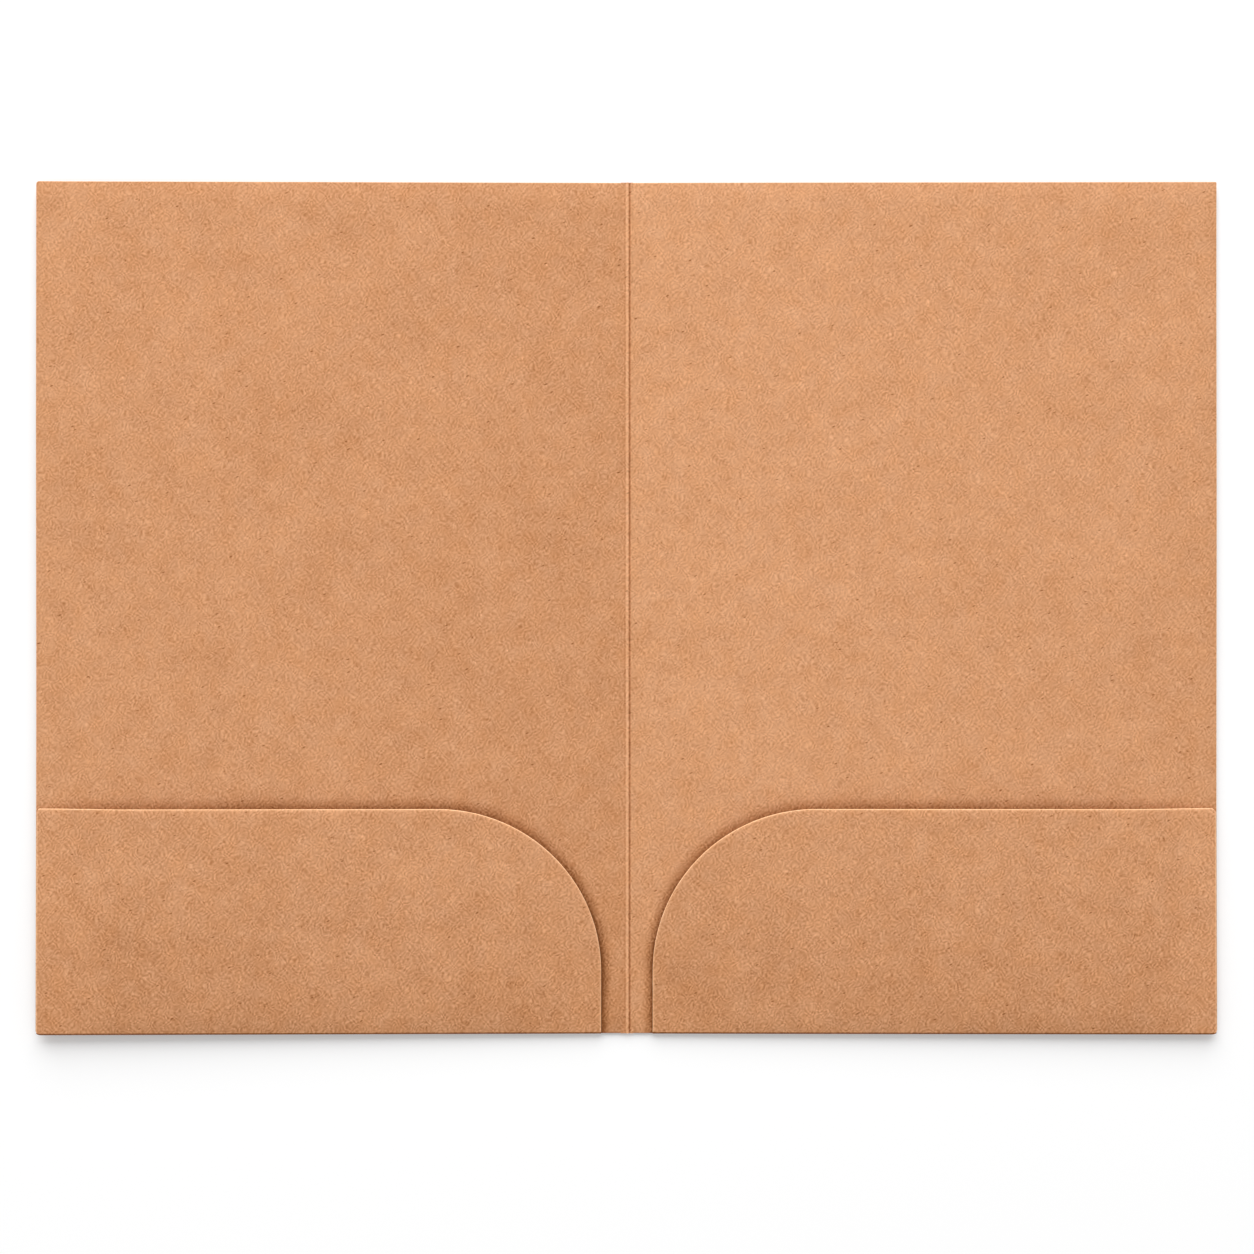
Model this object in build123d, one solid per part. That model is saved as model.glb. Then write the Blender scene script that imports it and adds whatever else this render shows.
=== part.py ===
from build123d import *
import os

# A two pocket folder of kraft card, open with its inside up, as a very shallow V on its spine crease.
# X runs across it from the front half to the back half, Y runs up to its head edge and Z is up.
# The origin lies under the middle of the spine. One sheet of card makes the whole folder, so its
# panels, folds and tabs are parted here along the creases where the card bends.

# Card and finished size, in millimetres
card = 0.4  # thickness of the card
closed_width = 215.0  # middle of the spine to the fore edge
height = 310.0  # foot folds to the head edge
cover_corner = 0.7  # easing of a cover's corner at the head
foot_lip = 0.7  # bare foot beside the spine, cut this far beyond the axis of the foot folds
lip_gap = 0.25  # between that bare foot and a foot fold
cover_lift = 0.4  # degrees that each cover stands up from flat

# Spine crease
spine_width = 2.8  # between the two lines that it folds along
bead_width = 1.8  # ridge that the score raises inside
bead_height = 0.3
groove_width = 1.0  # score line outside
groove_depth = 0.2
fold_slit = 0.05  # room between a fold line and the card on either side of it

# Pocket panel
inner_rise = 22.6  # straight inner edge, from the foot fold to the curve
mouth_curve = 59.0  # radius from the inner edge to the mouth
pocket_to_spine = 9.4  # middle of the spine to the inner edge
mouth_corner = 1.2  # easing of the mouth's corner at the fore edge
pocket_lift = 2.0  # degrees that the pocket springs open at its foot fold

# Side fold, glue tab and glue
fore_inset = 0.5  # side fold inside the cover's fore edge
side_gap = 0.1  # between the tab and the pocket that it is turned under
fold_relief = 1.5  # side fold starts this far above the foot fold
tab_width = 18.0
tab_taper = 7.0  # slant of the tab's ends
glue = 0.1  # thickness of the glue line
glue_width = 8.0
glue_margin = 4.0  # bare tab left beyond each end of the glue line

# Turns of the folded card, in degrees
half_turn = 180.0
fold_easing = 3.0  # foot fold stops this much short of the pocket's end

# Levels, up from a flat cover's outside
tab_level = card + glue
pocket_level = tab_level + card + side_gap
side_axis_level = tab_level + card + side_gap / 2
foot_axis_level = (card + pocket_level) / 2

# Places across and along a flat half
fold_line = spine_width / 2
head = height / 2
foot_axis = foot_axis_level - head
bare_foot = foot_axis - foot_lip
mouth = foot_axis + inner_rise + mouth_curve
side_axis = closed_width - fore_inset - (pocket_level + card - side_axis_level)
side_start = foot_axis + fold_relief
side_end = mouth - mouth_corner


def slab(left, right, low, high):
    """A flat outline between two places across and two along."""
    return Pos((left + right) / 2, (low + high) / 2) * Rectangle(right - left, high - low)


def cover():
    """Cover panel, from beside its fold line to the fore edge."""
    beside = fold_line + fold_slit
    outline = slab(beside, closed_width, foot_axis, head)
    outline += slab(beside, pocket_to_spine - lip_gap, bare_foot, head)
    outline = fillet(outline.vertices().group_by(Axis.X)[-1].sort_by(Axis.Y)[-1], cover_corner)
    return extrude(outline, card)


def foot_fold():
    """Card bent up and back over the cover, around the axis that the pocket opens on."""
    width = side_axis - pocket_to_spine
    edge = Plane((pocket_to_spine + width / 2, foot_axis, card / 2), Axis.X.direction, Axis.Y.direction)
    axis = Axis((0, foot_axis, foot_axis_level), -Axis.X.direction)
    return revolve(edge * Rectangle(width, card), axis, half_turn - pocket_lift - fold_easing)


def pocket():
    """Pocket panel, standing a little open on its foot fold."""
    outline = slab(pocket_to_spine, side_axis - fold_slit, foot_axis + fold_slit, mouth)
    outline = fillet(outline.vertices().group_by(Axis.Y)[-1].sort_by(Axis.X)[0], mouth_curve)
    outline = fillet(outline.vertices().group_by(Axis.Y)[-1].sort_by(Axis.X)[-1], mouth_corner)
    panel = extrude(Pos(0, 0, pocket_level) * outline, card)
    return panel.rotate(Axis((0, foot_axis, foot_axis_level), Axis.X.direction), pocket_lift)


def side_fold():
    """Tight bend at the fore edge that turns the tab under the pocket."""
    length = side_end - side_start
    edge = Plane((side_axis, side_start + length / 2, tab_level + card / 2), Axis.Y.direction, Axis.X.direction)
    axis = Axis((side_axis, 0, side_axis_level), -Axis.Y.direction)
    return revolve(edge * Rectangle(length, card), axis, half_turn)


def glue_tab():
    """Tapered tab lying on the cover behind the pocket."""
    inner = side_axis - tab_width
    outline = Polyline(
        (side_axis, side_start),
        (side_axis, side_end),
        (inner, side_end - tab_taper),
        (inner, side_start + tab_taper),
        close=True,
    )
    return extrude(Pos(0, 0, tab_level) * make_face(outline), card)


def glue_line():
    """Line of glue between the tab and the cover, along the middle of the tab."""
    left = side_axis - (tab_width + glue_width) / 2
    ends = tab_taper + glue_margin
    return extrude(Pos(0, 0, card) * slab(left, left + glue_width, side_start + ends, side_end - ends), glue)


def spine_crease():
    """Scored strip that both covers fold on, with its ridge inside and its groove outside."""
    side = fold_line - fold_slit
    ridge = bead_width / 2
    score = groove_width / 2
    section = make_face(
        Polyline((-score, 0), (-side, 0), (-side, card), (-ridge, card))
        + ThreePointArc((-ridge, card), (0, card + bead_height), (ridge, card))
        + Polyline((ridge, card), (side, card), (side, 0), (score, 0))
        + ThreePointArc((score, 0), (0, groove_depth), (-score, 0))
    )
    end = Plane((0, head, 0), Axis.X.direction, -Axis.Y.direction)
    return extrude(end * section, head - bare_foot, dir=-Axis.Y.direction)


half_pieces = {
    "cover": cover,
    "foot_fold": foot_fold,
    "pocket": pocket,
    "side_fold": side_fold,
    "glue_tab": glue_tab,
    "glue_line": glue_line,
}

os.makedirs("parts", exist_ok=True)
spine_axis = Axis((fold_line, 0, card), Axis.Y.direction)
for name, piece in half_pieces.items():
    back = piece().rotate(spine_axis, -cover_lift)
    export_step(back, f"parts/back_{name}.step")
    export_step(mirror(back, about=Plane.YZ), f"parts/front_{name}.step")
export_step(spine_crease(), "parts/spine_crease.step")
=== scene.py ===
import math
import bmesh
import bpy
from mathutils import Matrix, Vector


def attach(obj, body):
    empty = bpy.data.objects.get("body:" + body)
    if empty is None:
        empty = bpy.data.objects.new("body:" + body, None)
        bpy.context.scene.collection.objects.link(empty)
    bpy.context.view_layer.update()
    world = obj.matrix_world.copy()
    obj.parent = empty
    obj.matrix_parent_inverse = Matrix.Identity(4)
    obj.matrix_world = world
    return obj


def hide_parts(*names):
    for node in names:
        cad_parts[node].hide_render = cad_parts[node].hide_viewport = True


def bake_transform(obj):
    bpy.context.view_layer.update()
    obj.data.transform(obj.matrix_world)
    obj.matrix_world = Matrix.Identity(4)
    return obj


# A two pocket folder of brown kraft card, open on a pale table with its inside up and seen from above.
# The front half is on the left, where X is below zero, and the back half is its mirror image.
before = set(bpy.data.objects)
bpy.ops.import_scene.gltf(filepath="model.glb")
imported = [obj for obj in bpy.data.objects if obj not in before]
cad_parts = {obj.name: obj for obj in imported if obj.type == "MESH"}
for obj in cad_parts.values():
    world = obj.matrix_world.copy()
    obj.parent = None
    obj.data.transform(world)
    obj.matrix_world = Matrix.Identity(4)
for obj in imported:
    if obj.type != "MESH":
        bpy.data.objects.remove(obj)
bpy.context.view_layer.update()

# Sizes of the folder in millimetres, as in the solids or within half a millimetre of them
MM = 0.001
CARD = 0.4
CLOSED_WIDTH = 214.6
HEAD = 155.0
FOLD_LINE = 1.4
HEAD_CORNERS = {"front": 1.1, "back": 0.5}
FOOT_CORNER = 0.9
FOOT_ROUND = 2.0  # rounding of a foot fold and its cover together at the fore edge, seen from above
BEAD_WIDTH = 1.6
BEAD_HEIGHT = 0.3
BEAD_MIDDLE = 0.2
GROOVE_WIDTH = 1.0
GROOVE_DEPTH = 0.2
# Pressed lines that the score leaves beside the bead: middle, width and depth
SCORE_LINES = ((-0.75, 0.5, 0.08), (1.1, 0.8, 0.28))
INNER_RISE = 22.45
MOUTH_CURVE = 59.0
POCKET_TO_SPINE = 9.4
POCKET_LIFT = math.radians(2.0)
TAB_LEVEL = 0.5
POCKET_LEVEL = 1.0
FOOT_AXIS = -154.3
FOOT_AXIS_LEVEL = 0.7
SIDE_AXIS = 213.65
SIDE_AXIS_LEVEL = 0.95
TAB_WIDTH = 18.0
TAB_TAPER = 7.0
GLUE = 0.1
GLUE_WIDTH = 8.0
GLUE_MARGIN = 4.0
MOUTH = FOOT_AXIS + INNER_RISE + MOUTH_CURVE
SIDE_START = FOOT_AXIS + 1.5
SIDE_END = MOUTH - 1.2
MOUTH_CORNERS = {"front": 0.6, "back": 1.3}

# How the card springs: a cover rises from the spine and levels out towards its fore edge
CREASE_REACH = 2.2  # middle of the spine to where the cover sheet starts
SPINE_SLOPE = math.tan(math.radians(0.8))
LEVELLING = 45.0  # it levels out over about this width
WAVE_HEIGHT = 0.14  # slow wave along the fore edge
WAVE_LENGTH = 190.0
FOOT_BOW = 0.5  # the covers curl up by this much at their foot
BOW_REACH = 110.0
SEAM_HOLD = 35.0  # the glued fore edge holds a pocket down over this width
BULGE = 1.4  # a pocket bulges by this much, and by the next at its inner edge
INNER_BULGE = 0.2
BULGE_WIDTH = 50.0
FOOT_LIP = 0.7  # bare foot between the pockets, cut this far beyond the line that the pockets fold on
LIP_GAP = 0.25
LIP_COLUMNS = 4
COVER_COLUMNS = 42
FOLD_COLUMNS = 60
ROUND_COLUMNS = 6
CUT_ROUND = 0.36  # rounding that the cutting die leaves on a cut edge's upper side
SHARP = math.radians(60)  # an edge that turns by more than this is a rim of the sheet
FRONT = -1
BACK = 1
# The front half springs up the most, so that it stays clear of the table where the fold is pressed flat
FORE_SLOPES = {FRONT: math.tan(math.radians(0.75)), BACK: math.tan(math.radians(0.32))}


def smooth(share):
    """Share from 0 to 1 that starts and ends gently."""
    share = min(max(share, 0.0), 1.0)
    return share * share * (3 - 2 * share)


def lay(half, across, along, level):
    """Place in metres of a point of the card: across from the spine, along it, and up from its outside."""
    reach = max(across - FOLD_LINE, 0.0)
    fading = math.exp(-reach / LEVELLING)
    fore_slope = FORE_SLOPES[half]
    rise = fore_slope * reach + (SPINE_SLOPE - fore_slope) * LEVELLING * (1 - fading)
    slope = fore_slope + (SPINE_SLOPE - fore_slope) * fading if reach else 0.0
    phase = 2 * math.pi * along / WAVE_LENGTH + 0.6 * half
    wave = WAVE_HEIGHT * math.sin(phase) * reach / CLOSED_WIDTH
    bow = FOOT_BOW * (max(FOOT_AXIS + BOW_REACH - along, 0.0) / BOW_REACH) ** 2
    return Vector((half * (across - level * slope), along, rise + wave + bow + level)) * MM


def spring(across, along):
    """How far a pocket stands open above its pressed-flat place."""
    away = max(along - FOOT_AXIS, 0.0)
    free = smooth((SIDE_AXIS - across) / SEAM_HOLD)
    roomy = smooth((across - POCKET_TO_SPINE) / BULGE_WIDTH)
    crown = INNER_BULGE + (BULGE - INNER_BULGE) * roomy
    share = away / (INNER_RISE + MOUTH_CURVE)
    swell = math.sin(math.pi * 0.68 * share ** 0.55)
    return free * (away * math.sin(POCKET_LIFT) + crown * swell)


def flat_sheet(columns, rows, place):
    """A flat grid of card whose points go where place puts their shares across and along."""
    bm = bmesh.new()
    bmesh.ops.create_grid(bm, x_segments=columns, y_segments=rows, size=0.5)
    for point in bm.verts:
        point.co = Vector((*place(point.co.x + 0.5, point.co.y + 0.5), 0.0))
    return bm


def round_corner(bm, across, along, radius, steps=4):
    """Rounds the corner of a flat sheet that lies nearest to a place."""
    corner = min(bm.verts, key=lambda point: (point.co - Vector((across, along, 0.0))).length)
    bmesh.ops.bevel(
        bm, geom=[corner], offset=radius, affect="VERTICES", segments=steps, profile=0.5, material=-1
    )


def thicken(bm, level, thickness):
    """Gives a flat sheet its thickness, up from a level."""
    sheet = bmesh.ops.extrude_face_region(bm, geom=bm.faces[:])
    raised = [item for item in sheet["geom"] if isinstance(item, bmesh.types.BMVert)]
    bmesh.ops.translate(bm, verts=raised, vec=(0.0, 0.0, thickness))
    bmesh.ops.translate(bm, verts=bm.verts, vec=(0.0, 0.0, level))
    bmesh.ops.recalc_face_normals(bm, faces=bm.faces)


def round_cut(bm, is_cut):
    """Rounds a sheet's cut edges and gives them the finish of cut card."""
    top = max(point.co.z for point in bm.verts)
    rims = [
        edge for edge in bm.edges
        if edge.is_manifold and edge.calc_face_angle() > SHARP
        and min(edge.verts[0].co.z, edge.verts[1].co.z) > top - CARD / 2
        and is_cut((edge.verts[0].co + edge.verts[1].co) / 2)
    ]
    bmesh.ops.bevel(
        bm, geom=rims, offset=CUT_ROUND, affect="EDGES", segments=3, profile=0.5, material=-1
    )
    for face in bm.faces:
        if abs(face.normal.z) < 0.95:
            face.material_index = 1


def cut_cells(bm, columns, rows):
    """Cuts a sheet into cells that are small enough to bend smoothly."""
    low = [min(point.co[i] for point in bm.verts) for i in range(2)]
    high = [max(point.co[i] for point in bm.verts) for i in range(2)]
    for way, count in ((0, columns), (1, rows)):
        facing = Vector((1 - way, way, 0.0))
        for step in range(1, count):
            bmesh.ops.bisect_plane(
                bm, geom=bm.verts[:] + bm.edges[:] + bm.faces[:], dist=CARD / 1000,
                plane_co=facing * (low[way] + (high[way] - low[way]) * step / count), plane_no=facing,
            )


def piece(bm, name, half, node, materials, lift=None):
    """Lays a sheet on its half as a finished piece that stands for a CAD node."""
    for point in bm.verts:
        across, along, level = point.co
        if lift:
            level += lift(across, along)
        point.co = lay(half, across, along, level)
    bmesh.ops.recalc_face_normals(bm, faces=bm.faces)
    if bm.calc_volume(signed=True) < 0:
        bmesh.ops.reverse_faces(bm, faces=bm.faces)
    mesh = bpy.data.meshes.new(name)
    bm.to_mesh(mesh)
    bm.free()
    mesh.shade_smooth()
    mesh.set_sharp_from_angle(angle=math.radians(25))
    for material in materials:
        mesh.materials.append(material)
    made = bpy.data.objects.new(name, mesh)
    bpy.context.scene.collection.objects.link(made)
    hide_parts(node)
    return made


# Materials

PAINTED_FOOT_SHADE = 0.075  # painted shade: tone by which the card is darker towards its foot
FOOT_REACH = 60.0
PAINTED_HEAD_LIGHT = 0.01  # painted light: tone by which it is paler at its head
# Painted shade on a cover beside a pocket's edge: how far in mm from the edge it reaches, and how strongly
EDGE_SHADES = ((4.4, 1.0), (1.3, 0.4))
INNER_EDGE_SHADE = 1.6  # how much stronger the painted shade is beside the straight inner edge than above the mouth
SEAM_REACH = 70.0  # towards the fore edge a pocket is held down, and the painted shade weakens over this width
# share of the painted shade left at the fore edge
SEAM_EDGE_SHADE = 0.4
RIM_LIGHT_REACH = 0.9  # how far into a pocket the painted highlight reaches along its cut edge
PULP_TINT = "#FFF9EF"  # yellower patches of the pulp
# Painted highlight on the score's bead and painted shade in the lines beside it: middle and half width in
# mm, and tone
SCORE_LIGHT_SHADE = ((-0.75, 0.35, -0.05), (0.05, 0.6, 0.24), (1.0, 0.4, -0.28))


def linear(hex_colour):
    """Linear colour of an sRGB hex value."""
    values = [int(hex_colour[i:i + 2], 16) / 255 for i in (1, 3, 5)]
    steps = [v / 12.92 if v <= 0.04045 else ((v + 0.055) / 1.055) ** 2.4 for v in values]
    return (*steps, 1.0)


def add(tree, kind, settings, inputs):
    """Adds a node with its settings, and values or links for its sockets."""
    node = tree.nodes.new(kind)
    for name, value in settings.items():
        setattr(node, name, value)
    for name, value in inputs.items():
        if isinstance(value, bpy.types.NodeSocket):
            tree.links.new(value, node.inputs[name])
        else:
            node.inputs[name].default_value = value
    return node


def per_mm(size):
    """Texture scale at which one feature is about this many millimetres wide."""
    return 1 / (size * MM)


WAVE_STEP = 2 * math.pi / 20  # a wave texture of scale 1 repeats at this spacing
NOISE_SWING = 0.4  # how far a noise texture usually swings either side of its middle


def kraft(name, colours, contrast=1.0, half_light_shade=0.0, lit_shaded_lines=(), edge_shade=0.0, rim_light=0.0):
    """Uncoated kraft card: brown fibres matted and pressed flat. They show as fine curls, paler where the
    mat is thick, with a few long fibres, bark specks and pale flecks on a dry matt face. Painted light and
    shade: the front half is darker and the back half paler near the spine, and the card is darker towards
    its foot and paler at its head. Along the spine a painted highlight lies on the score's bead and painted
    shade in the lines beside it. A painted shade darkens a cover beside a pocket's edge, and a painted
    highlight makes the pocket paler along that edge."""
    material = bpy.data.materials.new(name)
    material.use_nodes = True
    tree = material.node_tree
    tree.nodes.clear()
    place = add(tree, "ShaderNodeTexCoord", {}, {}).outputs["Object"]
    tone = 0.5

    clouds = [
        # size in mm, detail, weight, seed
        (26.0, 2.0, 0.14, 1.0),
        (7.0, 2.0, 0.2, 2.0),
        (0.9, 1.0, 0.1, 3.0),
    ]
    for size, detail, weight, seed in clouds:
        cloud = add(
            tree, "ShaderNodeTexNoise", {"noise_dimensions": "4D"},
            {"Vector": place, "W": seed, "Scale": per_mm(size), "Detail": detail},
        )
        centred = add(
            tree, "ShaderNodeMath", {"operation": "SUBTRACT"}, {0: cloud.outputs["Fac"], 1: 0.5}
        )
        tone = add(
            tree, "ShaderNodeMath", {"operation": "MULTIPLY_ADD"},
            {0: centred.outputs[0], 1: weight * contrast, 2: tone},
        ).outputs[0]

    # Real fibres are about 0.03 mm wide; these curls stand for bundles of them, coarse enough to show
    curls = [
        # lie in degrees, spacing in mm, wander in spacings, length of a bend in mm, weight
        (42.0, 1.45, 0.5, 2.8, 0.098),
        (-39.0, 1.6, 0.5, 3.0, 0.098),
        (14.0, 1.5, 0.55, 2.8, 0.065),
        (81.0, 1.4, 0.55, 2.6, 0.065),
    ]
    for lie, spacing, wander, bend, weight in curls:
        turned = add(
            tree, "ShaderNodeMapping", {}, {"Vector": place, "Rotation": (0.0, 0.0, math.radians(lie))}
        )
        bundles = add(
            tree, "ShaderNodeTexWave", {},
            {
                "Vector": turned.outputs[0], "Scale": WAVE_STEP * per_mm(spacing),
                "Distortion": 2 * math.pi * wander / NOISE_SWING, "Detail": 0.5,
                "Detail Scale": spacing / (WAVE_STEP * bend), "Phase Offset": lie,
            },
        )
        centred = add(
            tree, "ShaderNodeMath", {"operation": "SUBTRACT"}, {0: bundles.outputs["Fac"], 1: 0.5}
        )
        patch = add(
            tree, "ShaderNodeTexNoise", {"noise_dimensions": "4D"},
            {"Vector": place, "W": lie, "Scale": per_mm(0.75 * bend), "Detail": 1.0},
        )
        strength = add(
            tree, "ShaderNodeMapRange", {},
            {
                "Value": patch.outputs["Fac"], "From Min": 0.35, "From Max": 0.65,
                "To Max": 2 * weight * contrast,
            },
        )
        tone = add(
            tree, "ShaderNodeMath", {"operation": "MULTIPLY_ADD"},
            {0: centred.outputs[0], 1: strength.outputs["Result"], 2: tone},
        ).outputs[0]
    mat = tone

    long_fibres = [
        # bend of a fibre in mm, half width as a share of the noise, weight, seed
        (7.0, 0.012, 0.1, 21.0),
        (6.0, 0.012, -0.1, 22.0),
    ]
    for bend, width, weight, seed in long_fibres:
        flow = add(
            tree, "ShaderNodeTexNoise", {"noise_dimensions": "4D"},
            {"Vector": place, "W": seed, "Scale": per_mm(bend), "Detail": 1.0},
        )
        off = add(
            tree, "ShaderNodeMath", {"operation": "SUBTRACT"}, {0: flow.outputs["Fac"], 1: 0.5}
        )
        beside = add(tree, "ShaderNodeMath", {"operation": "ABSOLUTE"}, {0: off.outputs[0]})
        line = add(
            tree, "ShaderNodeMapRange", {},
            {"Value": beside.outputs[0], "From Max": width, "To Min": 1.0, "To Max": 0.0},
        )
        gate = add(
            tree, "ShaderNodeTexNoise", {"noise_dimensions": "4D"},
            {"Vector": place, "W": seed + 10.0, "Scale": per_mm(bend * 0.7), "Detail": 0.0},
        )
        broken = add(
            tree, "ShaderNodeMapRange", {},
            {"Value": gate.outputs["Fac"], "From Min": 0.55, "From Max": 0.62},
        )
        fibre = add(
            tree, "ShaderNodeMath", {"operation": "MULTIPLY"},
            {0: line.outputs["Result"], 1: broken.outputs["Result"]},
        )
        tone = add(
            tree, "ShaderNodeMath", {"operation": "MULTIPLY_ADD"},
            {0: fibre.outputs[0], 1: weight * contrast, 2: tone},
        ).outputs[0]

    specks = [
        # spacing in mm, turn in degrees, stretch, half length in mm, share of places filled, weight
        (13.0, 20.0, 2.6, 0.75, 0.22, -0.42),
        (12.0, 75.0, 2.0, 0.55, 0.3, -0.22),
        (12.0, 140.0, 2.2, 0.6, 0.3, -0.2),
        (14.0, 110.0, 1.6, 0.5, 0.25, 0.25),
    ]
    for spacing, turn, stretch, length, share, weight in specks:
        turned = add(
            tree, "ShaderNodeMapping", {"vector_type": "TEXTURE"},
            {"Vector": place, "Rotation": (0.0, 0.0, math.radians(turn)), "Scale": (1.0, 1 / stretch, 1.0)},
        )
        cells = add(
            tree, "ShaderNodeTexVoronoi", {"voronoi_dimensions": "2D"},
            {"Vector": turned.outputs[0], "Scale": per_mm(spacing)},
        )
        spot = add(
            tree, "ShaderNodeMapRange", {},
            {
                "Value": cells.outputs["Distance"], "From Min": 0.4 * length / spacing,
                "From Max": length / spacing, "To Min": 1.0, "To Max": 0.0,
            },
        )
        lot = add(tree, "ShaderNodeSeparateColor", {}, {"Color": cells.outputs["Color"]})
        drawn = add(
            tree, "ShaderNodeMath", {"operation": "LESS_THAN"}, {0: lot.outputs["Red"], 1: share}
        )
        kept = add(
            tree, "ShaderNodeMath", {"operation": "MULTIPLY"},
            {0: spot.outputs["Result"], 1: drawn.outputs[0]},
        )
        tone = add(
            tree, "ShaderNodeMath", {"operation": "MULTIPLY_ADD"}, {0: kept.outputs[0], 1: weight, 2: tone}
        ).outputs[0]

    where = add(tree, "ShaderNodeSeparateXYZ", {}, {"Vector": place})
    across = where.outputs["X"]
    # Painted light and shade: the front half darker and the back half paler near the spine, the card darker
    # towards its foot and paler at its head
    painted_shading = [
        # place read, from and to in mm, tone at either end
        (across, -CLOSED_WIDTH, -0.5, 0.0, -half_light_shade),
        (across, -0.5, 1.0, 0.0, 2 * half_light_shade),
        (across, 1.0, CLOSED_WIDTH, 0.0, -half_light_shade),
        (where.outputs["Y"], FOOT_AXIS, FOOT_AXIS + FOOT_REACH, -PAINTED_FOOT_SHADE, 0.0),
        (where.outputs["Y"], MOUTH, HEAD, 0.0, PAINTED_HEAD_LIGHT),
    ]
    for read, start, end, first, last in painted_shading:
        shade = add(
            tree, "ShaderNodeMapRange", {},
            {
                "Value": read, "From Min": start * MM, "From Max": end * MM,
                "To Min": first, "To Max": last,
            },
        )
        tone = add(
            tree, "ShaderNodeMath", {"operation": "ADD"}, {0: shade.outputs["Result"], 1: tone}
        ).outputs[0]

    # Painted shade on a cover beside a pocket's edge, stronger beside the straight inner edge and weaker
    # towards the fore edge, and a painted highlight on the pocket along its cut edge
    side = add(tree, "ShaderNodeMath", {"operation": "ABSOLUTE"}, {0: across})
    to_curve = [
        # how far inside the curve's centre, towards the spine and towards the head
        ((POCKET_TO_SPINE + MOUTH_CURVE) * MM, side.outputs[0]),
        (where.outputs["Y"], (MOUTH - MOUTH_CURVE) * MM),
    ]
    inside = []
    for far, near in to_curve:
        off = add(tree, "ShaderNodeMath", {"operation": "SUBTRACT"}, {0: far, 1: near})
        inside.append(add(tree, "ShaderNodeMath", {"operation": "MAXIMUM"}, {0: off.outputs[0], 1: 0.0}))
    leg = add(
        tree, "ShaderNodeCombineXYZ", {}, {"X": inside[0].outputs[0], "Y": inside[1].outputs[0]}
    )
    away = add(tree, "ShaderNodeVectorMath", {"operation": "LENGTH"}, {0: leg.outputs[0]})
    beside_shade = 0.0
    for reach, weight in EDGE_SHADES:
        edge_shading = add(
            tree, "ShaderNodeMapRange", {"interpolation_type": "SMOOTHSTEP"},
            {
                "Value": away.outputs["Value"], "From Min": MOUTH_CURVE * MM,
                "From Max": (MOUTH_CURVE + reach) * MM, "To Min": -weight * edge_shade, "To Max": 0.0,
            },
        )
        beside_shade = add(
            tree, "ShaderNodeMath", {"operation": "ADD"}, {0: edge_shading.outputs["Result"], 1: beside_shade}
        ).outputs[0]
    shade_strengths = [
        # place read, from and to in mm, strength at either end
        (where.outputs["Y"], MOUTH - MOUTH_CURVE, MOUTH, INNER_EDGE_SHADE, 1.0),
        (side.outputs[0], SIDE_AXIS - SEAM_REACH, SIDE_AXIS, 1.0, SEAM_EDGE_SHADE),
    ]
    for read, start, end, first, last in shade_strengths:
        share = add(
            tree, "ShaderNodeMapRange", {},
            {
                "Value": read, "From Min": start * MM, "From Max": end * MM,
                "To Min": first, "To Max": last,
            },
        )
        beside_shade = add(
            tree, "ShaderNodeMath", {"operation": "MULTIPLY"}, {0: beside_shade, 1: share.outputs["Result"]}
        ).outputs[0]
    rim_lit = add(
        tree, "ShaderNodeMapRange", {},
        {
            "Value": away.outputs["Value"], "From Min": (MOUTH_CURVE - RIM_LIGHT_REACH) * MM,
            "From Max": MOUTH_CURVE * MM, "To Min": 0.0, "To Max": rim_light,
        },
    )
    edges = add(
        tree, "ShaderNodeMath", {"operation": "ADD"}, {0: beside_shade, 1: rim_lit.outputs["Result"]}
    )
    tone = add(
        tree, "ShaderNodeMath", {"operation": "ADD"}, {0: edges.outputs[0], 1: tone}
    ).outputs[0]

    # Painted highlight and painted shade lines along the spine's score
    for middle, half_width, weight in lit_shaded_lines:
        off = add(tree, "ShaderNodeMath", {"operation": "SUBTRACT"}, {0: across, 1: middle * MM})
        beside = add(tree, "ShaderNodeMath", {"operation": "ABSOLUTE"}, {0: off.outputs[0]})
        line = add(
            tree, "ShaderNodeMapRange", {"interpolation_type": "SMOOTHSTEP"},
            {
                "Value": beside.outputs[0], "From Min": 0.4 * half_width * MM,
                "From Max": half_width * MM, "To Min": weight, "To Max": 0.0,
            },
        )
        tone = add(
            tree, "ShaderNodeMath", {"operation": "ADD"}, {0: line.outputs["Result"], 1: tone}
        ).outputs[0]

    tones = add(tree, "ShaderNodeValToRGB", {}, {"Fac": tone})
    ramp = tones.color_ramp
    dark, shade, body, light = colours
    ramp.elements[0].color = linear(dark)
    ramp.elements[1].color = linear(light)
    ramp.elements.new(0.3).color = linear(shade)
    ramp.elements.new(0.5).color = linear(body)
    pulp = add(
        tree, "ShaderNodeTexNoise", {"noise_dimensions": "4D"},
        {"Vector": place, "W": 41.0, "Scale": per_mm(6.0), "Detail": 3.0},
    )
    warmth = add(
        tree, "ShaderNodeMapRange", {}, {"Value": pulp.outputs["Fac"], "From Min": 0.3, "From Max": 0.7}
    )
    tinted = add(
        tree, "ShaderNodeMix", {"data_type": "RGBA", "blend_type": "MULTIPLY"},
        {"Factor": warmth.outputs["Result"], 6: tones.outputs["Color"], 7: linear(PULP_TINT)},
    )
    tooth = add(tree, "ShaderNodeBump", {}, {"Height": mat, "Strength": 0.3, "Distance": 0.15 * MM})
    face = add(
        tree, "ShaderNodeBsdfPrincipled", {},
        {
            "Base Color": tinted.outputs[2], "Roughness": 0.9, "IOR": 1.47,
            "Specular IOR Level": 0.25, "Normal": tooth.outputs["Normal"],
        },
    )
    add(tree, "ShaderNodeOutputMaterial", {}, {"Surface": face.outputs[0]})
    return material


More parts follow.
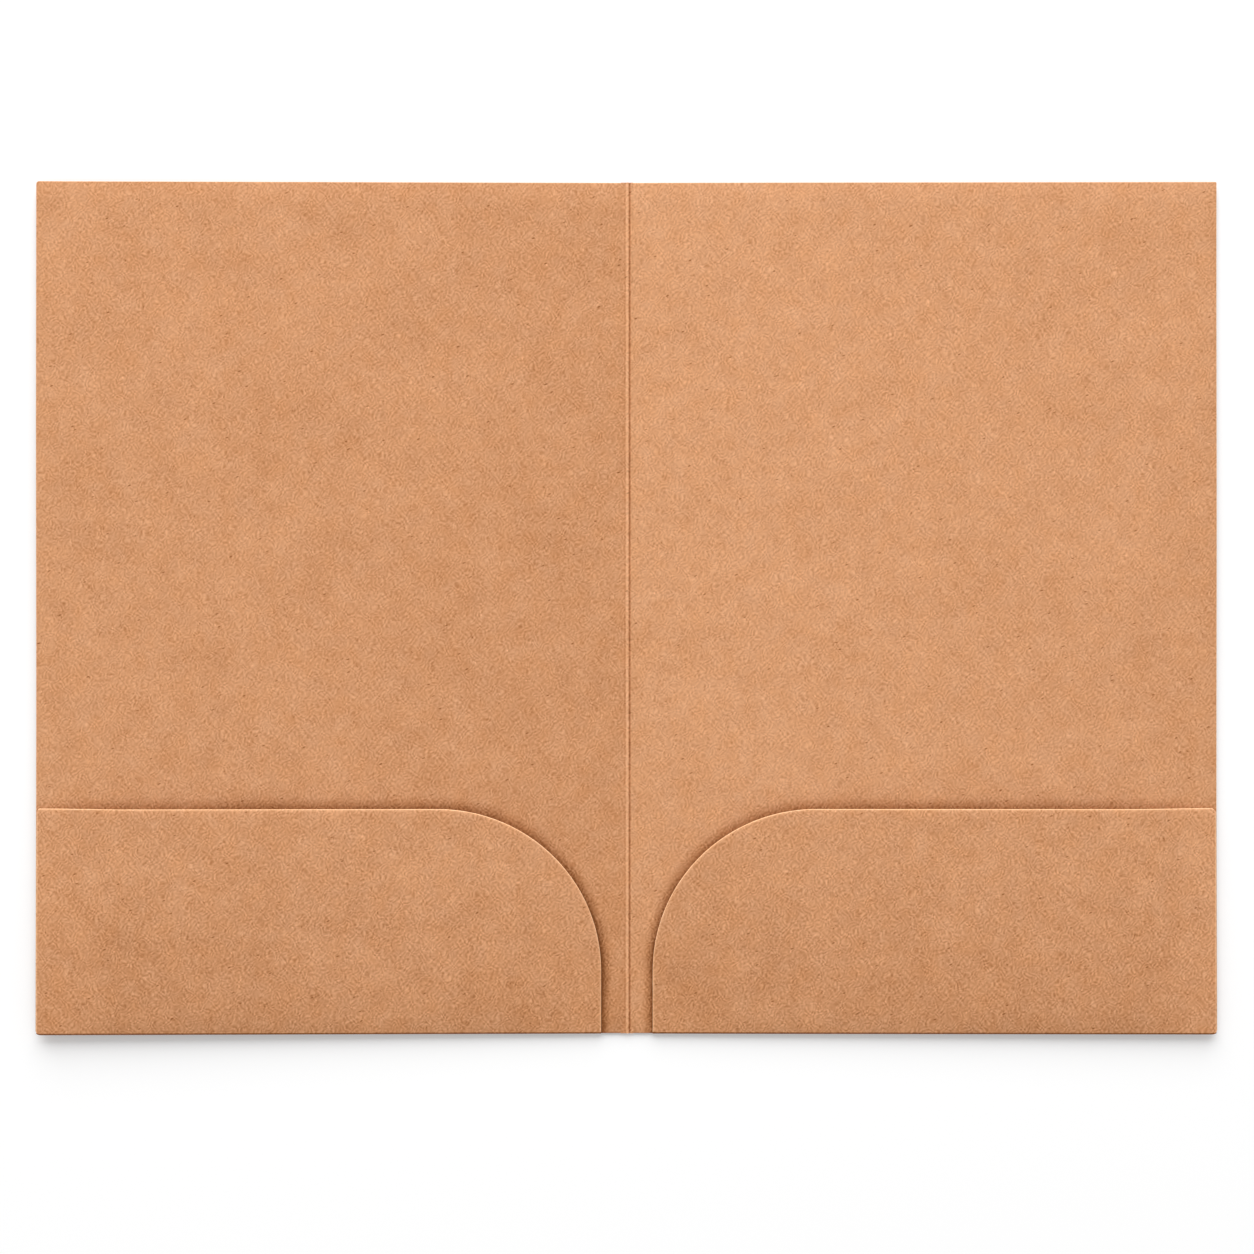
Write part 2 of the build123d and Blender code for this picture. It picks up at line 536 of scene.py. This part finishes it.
def dried_glue():
    """White glue dried to a thin clear-amber film, with a soft gloss and small ripples."""
    material = bpy.data.materials.new("dried_white_glue")
    material.use_nodes = True
    tree = material.node_tree
    tree.nodes.clear()
    place = add(tree, "ShaderNodeTexCoord", {}, {}).outputs["Object"]
    ripple = add(
        tree, "ShaderNodeTexNoise", {}, {"Vector": place, "Scale": per_mm(2.5), "Detail": 2.0}
    )
    colours = add(tree, "ShaderNodeValToRGB", {}, {"Fac": ripple.outputs["Fac"]})
    colours.color_ramp.elements[0].color = linear("#C9B48C")
    colours.color_ramp.elements[1].color = linear("#E6DCC0")
    relief = add(
        tree, "ShaderNodeBump", {},
        {"Height": ripple.outputs["Fac"], "Strength": 0.3, "Distance": 0.05 * MM},
    )
    film = add(
        tree, "ShaderNodeBsdfPrincipled", {},
        {
            "Base Color": colours.outputs["Color"], "Roughness": 0.4, "IOR": 1.48,
            "Normal": relief.outputs["Normal"],
        },
    )
    add(tree, "ShaderNodeOutputMaterial", {}, {"Surface": film.outputs[0]})
    return material


def white_table():
    """Matt white board that looks white to the camera and keeps the folder's shadow."""
    material = bpy.data.materials.new("white_board")
    material.use_nodes = True
    tree = material.node_tree
    tree.nodes.clear()
    rays = add(tree, "ShaderNodeLightPath", {}, {})
    seen = add(
        tree, "ShaderNodeMath", {"operation": "MAXIMUM"},
        {0: rays.outputs["Is Camera Ray"], 1: rays.outputs["Is Glossy Ray"]},
    )
    shown = add(
        tree, "ShaderNodeMath", {"operation": "MAXIMUM"},
        {0: seen.outputs[0], 1: rays.outputs["Is Transmission Ray"]},
    )
    level = add(
        tree, "ShaderNodeMath", {"operation": "MULTIPLY"}, {0: shown.outputs[0], 1: 0.13}
    )
    board = add(tree, "ShaderNodeBsdfDiffuse", {}, {"Color": linear("#F4F4F4")})
    glow = add(tree, "ShaderNodeEmission", {}, {"Strength": level.outputs[0]})
    both = add(tree, "ShaderNodeAddShader", {}, {0: board.outputs[0], 1: glow.outputs[0]})
    add(tree, "ShaderNodeOutputMaterial", {}, {"Surface": both.outputs[0]})
    return material


# Colours of deep specks, of the darker and the usual fibres, and of the palest
CARD_FACE = ("#8C552D", "#BC8257", "#D2996F", "#FEC397")
# The inside of a cover, with painted light and shade across its halves and painted shade bands beside its
# pocket, and its plain outside
KRAFT_COVER = kraft("kraft_card_cover", CARD_FACE, half_light_shade=0.045, edge_shade=0.22)
KRAFT_OUTSIDE = kraft("kraft_card_outside", CARD_FACE)
# The spine's strip, with painted light and shade across its halves and along the score
KRAFT_CREASE = kraft("kraft_card_crease", CARD_FACE, half_light_shade=0.045, lit_shaded_lines=SCORE_LIGHT_SHADE)
# A pocket, with a painted highlight along its cut edge
KRAFT_POCKET = kraft("kraft_card_pocket", CARD_FACE, contrast=1.12, rim_light=0.25)
# A fold at the foot is darker as painted shade, where it turns away from the light; a tight side fold is
# paler, where raw fibres show; cut edges are paler from raw fibres and brighter still as a painted highlight
KRAFT_SHADED_FOOT_FOLD = kraft("kraft_card_shaded_foot_fold", ("#5E3418", "#84522E", "#9A653F", "#C89066"))
KRAFT_SIDE_FOLD = kraft("kraft_card_side_fold", ("#B47A50", "#DCA47A", "#F2BC92", "#FFDCB8"))
KRAFT_EDGE = kraft("kraft_card_cut_edge", ("#C89468", "#EEBC90", "#FFD0A2", "#FFE6CC"), contrast=0.8)
GLUE_FILM = dried_glue()

# Spine crease: the strip between the covers, with the raised bead of the score inside


def crease_place(share, along):
    foot = FOOT_AXIS - FOOT_LIP
    return (2 * share - 1) * CREASE_REACH, foot + along * (HEAD - foot)


def ridge(across, width, height):
    """Height of a rounded ridge along the spine."""
    if abs(across) > width / 2:
        return 0.0
    return height * math.cos(math.pi * across / width) ** 2


crease = flat_sheet(72, 40, crease_place)
thicken(crease, 0.0, CARD)
for point in crease.verts:
    if point.co.z > CARD / 2:
        point.co.z += ridge(point.co.x - BEAD_MIDDLE, BEAD_WIDTH, BEAD_HEIGHT)
        for middle, width, depth in SCORE_LINES:
            point.co.z -= ridge(point.co.x - middle, width, depth)
    else:
        point.co.z += ridge(point.co.x, GROOVE_WIDTH, GROOVE_DEPTH)
for point in crease.verts:
    side = BACK if point.co.x >= 0 else FRONT
    point.co = lay(side, abs(point.co.x), point.co.y, point.co.z)
crease_mesh = bpy.data.meshes.new("spine_crease_card")
crease.to_mesh(crease_mesh)
crease.free()
crease_mesh.shade_smooth()
crease_mesh.set_sharp_from_angle(angle=math.radians(50))
crease_mesh.materials.append(KRAFT_CREASE)
spine = bpy.data.objects.new("spine_crease_card", crease_mesh)
bpy.context.scene.collection.objects.link(spine)
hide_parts("spine_crease")
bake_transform(spine)

# The panels, folds, tabs and glue of each half


def cover_place(share, along):
    column = share * COVER_COLUMNS
    if column < LIP_COLUMNS:
        across = CREASE_REACH + (POCKET_TO_SPINE - LIP_GAP - CREASE_REACH) * column / (LIP_COLUMNS - 1)
        foot = FOOT_AXIS - FOOT_LIP
    else:
        beyond = (column - LIP_COLUMNS) / (COVER_COLUMNS - LIP_COLUMNS)
        across = POCKET_TO_SPINE + (CLOSED_WIDTH - POCKET_TO_SPINE) * beyond
        foot = FOOT_AXIS
    return across, foot + along * (HEAD - foot)


def is_cover_cut(place):
    """Head, fore edge and the bare lip of foot beside the spine are cut; the rest runs on into folds."""
    bare_foot = place.y < FOOT_AXIS + CARD and CREASE_REACH + CARD < place.x < POCKET_TO_SPINE - LIP_GAP
    return place.y > HEAD - CARD or place.x > CLOSED_WIDTH - 3 * CARD or bare_foot


def pocket_place(share, along):
    return POCKET_TO_SPINE + share * (SIDE_AXIS - POCKET_TO_SPINE), FOOT_AXIS + along * (MOUTH - FOOT_AXIS)


def is_pocket_cut(place):
    """The mouth, its curve and the inner edge are cut; the foot and the fore edge run on into folds."""
    return place.y > FOOT_AXIS + CARD and (place.x < SIDE_AXIS - CARD / 4 or place.y > SIDE_END)


def tab_place(share, along):
    taper = TAB_TAPER * (1 - share)
    low = SIDE_START + taper
    high = SIDE_END - taper
    return SIDE_AXIS - TAB_WIDTH * (1 - share), low + along * (high - low)


def glue_place(share, along):
    ends = TAB_TAPER + GLUE_MARGIN
    low = SIDE_START + ends
    high = SIDE_END - ends
    wobble = 0.4 * math.sin(9 * along) * (2 * share - 1)
    middle = SIDE_AXIS - TAB_WIDTH / 2
    return middle + (share - 0.5) * GLUE_WIDTH + wobble, low + along * (high - low)


def foot_fold_mesh():
    """Card bent up and back over the cover at its foot, rounded off towards the fore edge."""
    rounding = CLOSED_WIDTH - FOOT_ROUND
    width = math.sqrt(FOOT_ROUND ** 2 - (FOOT_ROUND - FOOT_AXIS_LEVEL) ** 2)

    def place(share, along):
        column = share * (FOLD_COLUMNS + ROUND_COLUMNS)
        if column <= FOLD_COLUMNS:
            return POCKET_TO_SPINE + (rounding - POCKET_TO_SPINE) * column / FOLD_COLUMNS, along * CARD
        return rounding + width * (column - FOLD_COLUMNS) / ROUND_COLUMNS, along * CARD

    bm = flat_sheet(FOLD_COLUMNS + ROUND_COLUMNS, 1, place)
    for point in bm.verts:
        point.co = Vector((point.co.x, FOOT_AXIS, point.co.y))
    bmesh.ops.spin(
        bm, geom=bm.verts[:] + bm.edges[:] + bm.faces[:], cent=(0.0, FOOT_AXIS, FOOT_AXIS_LEVEL),
        axis=(-1.0, 0.0, 0.0), angle=math.pi, steps=12, use_merge=False,
    )
    for point in bm.verts:
        over = max(point.co.x - rounding, 0.0)
        inset = FOOT_ROUND - math.sqrt(FOOT_ROUND ** 2 - over ** 2)
        point.co.y = FOOT_AXIS + (point.co.y - FOOT_AXIS) * max(1 - inset / FOOT_AXIS_LEVEL, 0.1)
    bmesh.ops.remove_doubles(bm, verts=bm.verts, dist=CARD / 1000)
    bmesh.ops.recalc_face_normals(bm, faces=bm.faces)
    return bm


def side_fold_mesh():
    """Tight bend at the fore edge, between the tab and the pocket."""
    start = FOOT_AXIS + CARD / 2
    length = SIDE_END - start
    bm = flat_sheet(24, 1, lambda share, along: (start + share * length, along * CARD))
    for point in bm.verts:
        point.co = Vector((SIDE_AXIS, point.co.x, TAB_LEVEL + point.co.y))
    bmesh.ops.spin(
        bm, geom=bm.verts[:] + bm.edges[:] + bm.faces[:], cent=(SIDE_AXIS, 0.0, SIDE_AXIS_LEVEL),
        axis=(0.0, -1.0, 0.0), angle=math.pi, steps=10, use_merge=False,
    )
    bmesh.ops.remove_doubles(bm, verts=bm.verts, dist=CARD / 1000)
    bmesh.ops.recalc_face_normals(bm, faces=bm.faces)
    return bm


for half, side in ((FRONT, "front"), (BACK, "back")):
    body = f"{side}_half"

    sheet = flat_sheet(COVER_COLUMNS, 40, cover_place)
    round_corner(sheet, CLOSED_WIDTH, HEAD, HEAD_CORNERS[side])
    round_corner(sheet, CLOSED_WIDTH, FOOT_AXIS, FOOT_CORNER)
    thicken(sheet, 0.0, CARD)
    round_cut(sheet, is_cover_cut)
    # The bare foot's cut edge takes the foot fold's painted shade, and the underside takes the plain outside
    for face in sheet.faces:
        if face.material_index == 1 and face.calc_center_median().y < FOOT_AXIS:
            face.material_index = 2
        elif face.normal.z < -0.95:
            face.material_index = 3
    cover = piece(
        sheet, f"{side}_cover_card", half, f"{side}_cover",
        [KRAFT_COVER, KRAFT_EDGE, KRAFT_SHADED_FOOT_FOLD, KRAFT_OUTSIDE],
    )
    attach(cover, body)

    panel = flat_sheet(1, 1, pocket_place)
    round_corner(panel, SIDE_AXIS, MOUTH, MOUTH_CORNERS[side])
    round_corner(panel, POCKET_TO_SPINE, MOUTH, MOUTH_CURVE, steps=48)
    thicken(panel, POCKET_LEVEL, CARD)
    round_cut(panel, is_pocket_cut)
    cut_cells(panel, columns=68, rows=27)
    pocket = piece(
        panel, f"{side}_pocket_card", half, f"{side}_pocket", [KRAFT_POCKET, KRAFT_EDGE],
        spring,
    )
    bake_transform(pocket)

    fold = piece(
        foot_fold_mesh(), f"{side}_foot_fold_card", half, f"{side}_foot_fold",
        [KRAFT_SHADED_FOOT_FOLD],
    )
    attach(fold, body)

    bend = piece(
        side_fold_mesh(), f"{side}_side_fold_card", half, f"{side}_side_fold",
        [KRAFT_SIDE_FOLD],
    )
    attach(bend, body)

    flap = flat_sheet(8, 16, tab_place)
    thicken(flap, TAB_LEVEL, CARD)
    round_cut(flap, lambda place: place.x < SIDE_AXIS - CARD)
    tab = piece(
        flap, f"{side}_glue_tab_card", half, f"{side}_glue_tab", [KRAFT_POCKET, KRAFT_EDGE]
    )
    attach(tab, body)

    film = flat_sheet(4, 20, glue_place)
    thicken(film, CARD, GLUE)
    line = piece(film, f"{side}_glue_film", half, f"{side}_glue_line", [GLUE_FILM])
    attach(line, body)

# Table, light and camera. The table lies just below the spine, so that the foot casts a soft shadow on it

table_mesh = bpy.data.meshes.new("table")
table_bm = bmesh.new()
bmesh.ops.create_grid(table_bm, x_segments=1, y_segments=1, size=2.5)
bmesh.ops.translate(table_bm, verts=table_bm.verts, vec=(0.0, 0.0, -0.35 * MM))
table_bm.to_mesh(table_mesh)
table_bm.free()
table_mesh.materials.append(white_table())
table = bpy.data.objects.new("table", table_mesh)
bpy.context.scene.collection.objects.link(table)

# A wide soft lamp stands low beyond the head: cut edges that face it are bright and the foot casts a shadow
lamp_data = bpy.data.lights.new("head_lamp", "AREA")
lamp_data.shape = "RECTANGLE"
lamp_data.size = 4.4
lamp_data.size_y = 3.4
lamp_data.energy = 190.0
lamp = bpy.data.objects.new("head_lamp", lamp_data)
lamp.location = (-0.25, 3.35, 2.15)
lamp.rotation_euler = (-lamp.location).to_track_quat("-Z", "Y").to_euler()
bpy.context.scene.collection.objects.link(lamp)

# Soft light all round, from pale walls more than from overhead, so that low edges shade the card beside them
world = bpy.data.worlds.new("studio")
world.use_nodes = True
studio = world.node_tree
studio.nodes.clear()
direction = add(studio, "ShaderNodeTexCoord", {}, {})
height = add(studio, "ShaderNodeSeparateXYZ", {}, {"Vector": direction.outputs["Generated"]})
walls = add(
    studio, "ShaderNodeMapRange", {},
    {"Value": height.outputs["Z"], "From Min": 0.0, "From Max": 1.0, "To Min": 0.535, "To Max": 0.505},
)
rays = add(studio, "ShaderNodeLightPath", {}, {})
seen = add(
    studio, "ShaderNodeMath", {"operation": "MAXIMUM"},
    {0: rays.outputs["Is Camera Ray"], 1: rays.outputs["Is Glossy Ray"]},
)
shown = add(
    studio, "ShaderNodeMath", {"operation": "MAXIMUM"},
    {0: seen.outputs[0], 1: rays.outputs["Is Transmission Ray"]},
)
level = add(
    studio, "ShaderNodeMix", {}, {"Factor": shown.outputs[0], "A": walls.outputs["Result"], "B": 0.92}
)
glow = add(
    studio, "ShaderNodeBackground", {},
    {"Color": linear("#FFFFFF"), "Strength": level.outputs["Result"]},
)
add(studio, "ShaderNodeOutputWorld", {}, {"Surface": glow.outputs[0]})
bpy.context.scene.world = world

# The camera hangs straight over the folder, a little below the middle of its height
CAMERA_PLACE = Vector((0.04, -7.0, 650.0)) * MM
FRAME_WIDTH = 457.5 * MM  # width of the picture at the level of the spine
camera_data = bpy.data.cameras.new("camera")
camera_data.sensor_width = 36.0
camera_data.lens = camera_data.sensor_width * CAMERA_PLACE.z / FRAME_WIDTH
camera = bpy.data.objects.new("camera", camera_data)
camera.location = CAMERA_PLACE
bpy.context.scene.collection.objects.link(camera)
bpy.context.scene.camera = camera
bpy.context.scene.view_settings.view_transform = "Standard"
